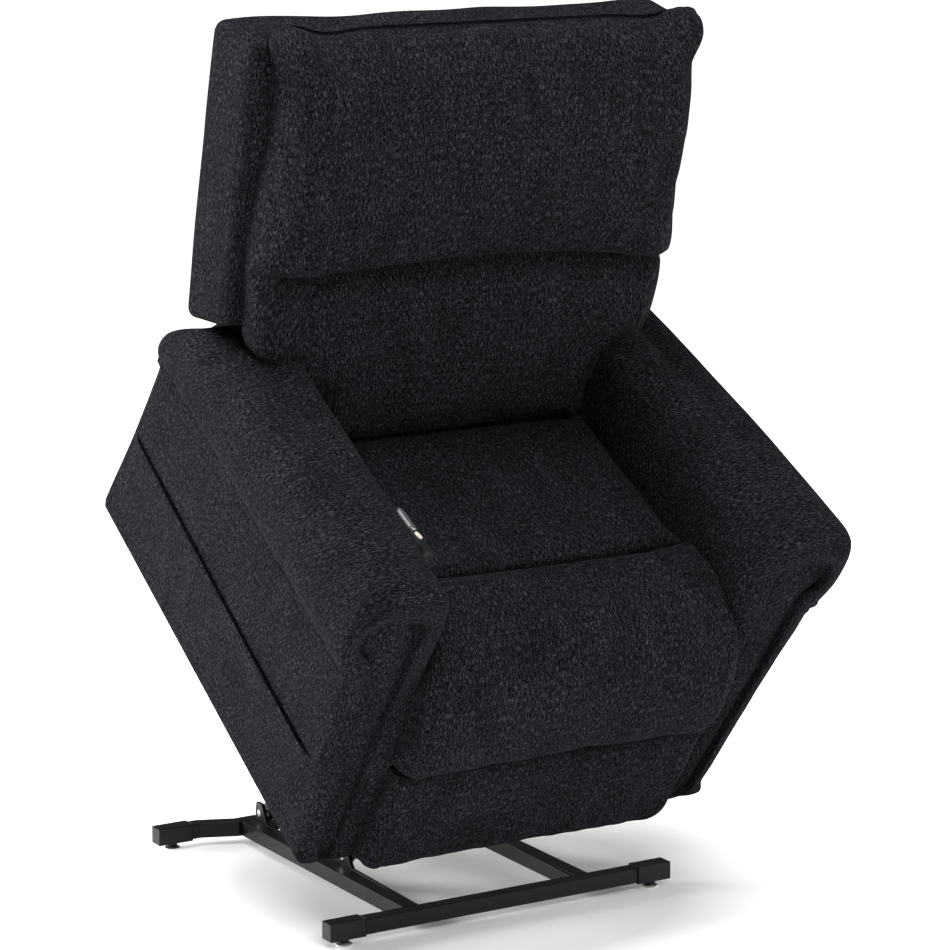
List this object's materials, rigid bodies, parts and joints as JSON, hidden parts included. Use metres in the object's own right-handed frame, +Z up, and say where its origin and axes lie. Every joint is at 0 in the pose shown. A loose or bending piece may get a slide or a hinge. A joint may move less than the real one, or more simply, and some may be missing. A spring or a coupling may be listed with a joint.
{
  "type": "lift recliner chair",
  "caption": "Upholstered power lift recliner with padded sloping arms, raised and tipped forward on a steel floor frame, with reclining back and folding legrest.",
  "frame": {"origin": "on the floor, midway between the sides and midway along the depth of the raised chair", "axes": "+Z up, -Y the way the chair faces, +X to the left hand of a sitter"},
  "size_m": [0.858, 0.9772, 1.4259],
  "materials": {
    "charcoal_fabric": "heathered chenille weave",
    "black_steel": "satin black powder coat",
    "zinc_steel": "zinc plated",
    "glide_metal": "nickel plated",
    "black_plastic": "fine moulded texture",
    "silver_plastic": "silver lacquered",
    "cream_plastic": "satin cream",
    "frame_wood": "planed plywood"
  },
  "bodies": {
    "base": {"base_front_tube": "black_steel", "base_rear_tube": "black_steel", "base_rail_right": "black_steel", "base_rail_left": "black_steel", "base_brackets": "black_steel", "base_end_caps": "black_plastic", "lift_pivot_bolts": "zinc_steel"},
    "foot_front_right": {"foot_front_right": "glide_metal"},
    "foot_front_left": {"foot_front_left": "glide_metal"},
    "foot_rear_right": {"foot_rear_right": "glide_metal"},
    "foot_rear_left": {"foot_rear_left": "glide_metal"},
    "lift_links": {"rear_lift_link_right": "black_steel", "rear_lift_link_left": "black_steel", "lift_cross_tube": "black_steel"},
    "front_links": {"front_lift_link_right": "black_steel", "front_lift_link_left": "black_steel"},
    "chair": {"carriage_plates": "black_steel", "carriage_cross_tubes": "black_steel", "frame_cross_bars": "black_steel", "arm_bolts": "zinc_steel", "seat_side_rails": "frame_wood", "seat_end_rails": "frame_wood", "seat_springs": "zinc_steel", "seat_cushion": "charcoal_fabric", "front_bolster": "charcoal_fabric", "arm_frame_right": "frame_wood", "arm_frame_left": "frame_wood", "arm_outer_panel_right": "charcoal_fabric", "arm_outer_panel_left": "charcoal_fabric", "arm_inner_panel_right": "charcoal_fabric", "arm_inner_panel_left": "charcoal_fabric", "arm_front_panel_right": "charcoal_fabric", "arm_front_panel_left": "charcoal_fabric", "arm_pad_right": "charcoal_fabric", "arm_pad_left": "charcoal_fabric", "side_pocket": "charcoal_fabric", "control_bezel": "black_plastic", "control_box": "black_plastic", "back_hinge_ears": "black_steel", "back_hinge_pins": "zinc_steel"},
    "lift_actuator": {"lift_motor": "black_plastic"},
    "lift_rod": {"lift_rod": "zinc_steel"},
    "legrest_crank": {"legrest_crank": "black_steel"},
    "legrest_links": {"legrest_links": "black_steel"},
    "legrest": {"legrest_brackets": "black_steel", "legrest_board": "frame_wood", "legrest_cushion": "charcoal_fabric"},
    "legrest_actuator": {"legrest_motor": "black_plastic"},
    "legrest_rod": {"legrest_rod": "zinc_steel"},
    "backrest": {"back_brackets": "black_steel", "back_lever": "black_steel", "back_frame": "frame_wood", "back_wings": "charcoal_fabric", "back_shell": "charcoal_fabric", "head_cushion": "charcoal_fabric", "lumbar_cushion": "charcoal_fabric"},
    "recline_actuator": {"recline_motor": "black_plastic"},
    "recline_rod": {"recline_rod": "zinc_steel"},
    "rocker": {"recline_rocker": "silver_plastic"},
    "button": {"lift_button": "cream_plastic"}
  },
  "joints": [
    {"name": "lift", "type": "hinge", "parent": "base", "child": "lift_links", "pos_m": [0, 0.39828, 0.052], "axis": [1, 0, 0], "range_deg": [0, 27.81]},
    {"name": "seat_tilt", "type": "hinge", "parent": "lift_links", "child": "chair", "pos_m": [0, 0.00428, 0.2824], "axis": [1, 0, 0], "range_deg": [-61.83, 0]},
    {"name": "front_link_swing", "type": "hinge", "parent": "base", "child": "front_links", "pos_m": [0, 0.11511, 0.052], "axis": [1, 0, 0], "range_deg": [0, 36.49]},
    {"name": "lift_actuator_swing", "type": "hinge", "parent": "chair", "child": "lift_actuator", "pos_m": [0, 0.26797, 0.55314], "axis": [1, 0, 0], "range_deg": [-0.023, 0]},
    {"name": "lift_rod_slide", "type": "slide", "parent": "lift_actuator", "child": "lift_rod", "axis": [0, -0.8294, -0.5587], "range_m": [0, 0.09265]},
    {"name": "legrest", "type": "hinge", "parent": "chair", "child": "legrest_crank", "pos_m": [0, -0.15072, 0.37808], "axis": [-1, 0, 0], "range_deg": [0, 97.5]},
    {"name": "legrest_link_swing", "type": "hinge", "parent": "legrest_crank", "child": "legrest_links", "pos_m": [0, -0.01845, 0.28034], "axis": [-1, 0, 0], "range_deg": [-92.02, 0]},
    {"name": "legrest_panel_swing", "type": "hinge", "parent": "legrest_links", "child": "legrest", "pos_m": [0, -0.1864, 0.25752], "axis": [-1, 0, 0], "range_deg": [0, 76.52]},
    {"name": "legrest_actuator_swing", "type": "hinge", "parent": "chair", "child": "legrest_actuator", "pos_m": [-0.075, 0.2333, 0.60454], "axis": [1, 0, 0], "range_deg": [-0.1507, 0]},
    {"name": "legrest_rod_slide", "type": "slide", "parent": "legrest_actuator", "child": "legrest_rod", "axis": [0, -0.8208, -0.5713], "range_m": [0, 0.07588]},
    {"name": "recline", "type": "hinge", "parent": "chair", "child": "backrest", "pos_m": [0, 0.18985, 0.74049], "axis": [-1, 0, 0], "range_deg": [0, 35]},
    {"name": "recline_actuator_swing", "type": "hinge", "parent": "chair", "child": "recline_actuator", "pos_m": [0.075, -0.04429, 0.44384], "axis": [1, 0, 0], "range_deg": [0, 0.5305]},
    {"name": "recline_rod_slide", "type": "slide", "parent": "recline_actuator", "child": "recline_rod", "axis": [0, 0.8217, 0.5699], "range_m": [-0.06817, 0]},
    {"name": "rocker_tilt", "type": "hinge", "parent": "chair", "child": "rocker", "pos_m": [-0.26156, -0.29058, 0.69337], "axis": [-0.8192, -0.2737, 0.5041], "range_deg": [-4, 4], "stiffness_Nm_per_rad": 0.6},
    {"name": "button_press", "type": "slide", "parent": "chair", "child": "button", "axis": [-0.5736, 0.3909, -0.7199], "range_m": [0, 0.002], "stiffness_N_per_m": 300},
    {"name": "foot_front_right_turn", "type": "hinge", "parent": "base", "child": "foot_front_right", "pos_m": [-0.284, -0.1377, 0.003], "axis": [0, 0, 1], "continuous": true},
    {"name": "foot_front_left_turn", "type": "hinge", "parent": "base", "child": "foot_front_left", "pos_m": [0.284, -0.1377, 0.003], "axis": [0, 0, 1], "continuous": true},
    {"name": "foot_rear_right_turn", "type": "hinge", "parent": "base", "child": "foot_rear_right", "pos_m": [-0.284, 0.4473, 0.003], "axis": [0, 0, 1], "continuous": true},
    {"name": "foot_rear_left_turn", "type": "hinge", "parent": "base", "child": "foot_rear_left", "pos_m": [0.284, 0.4473, 0.003], "axis": [0, 0, 1], "continuous": true}
  ],
  "couplings": [
    {"joint": "seat_tilt", "follows": "lift", "ratio": -2.2227},
    {"joint": "front_link_swing", "follows": "lift", "ratio": 1.3115},
    {"joint": "lift_actuator_swing", "follows": "lift", "ratio": -0.000109},
    {"joint": "lift_rod_slide", "follows": "lift", "m_per_rad": 0.19048},
    {"joint": "legrest_link_swing", "follows": "legrest", "ratio": -0.94359},
    {"joint": "legrest_panel_swing", "follows": "legrest", "ratio": 0.78461},
    {"joint": "legrest_actuator_swing", "follows": "legrest", "ratio": -0.001341},
    {"joint": "legrest_rod_slide", "follows": "legrest", "m_per_rad": 0.044472},
    {"joint": "recline_actuator_swing", "follows": "recline", "ratio": 0.014585},
    {"joint": "recline_rod_slide", "follows": "recline", "m_per_rad": -0.11127}
  ]
}
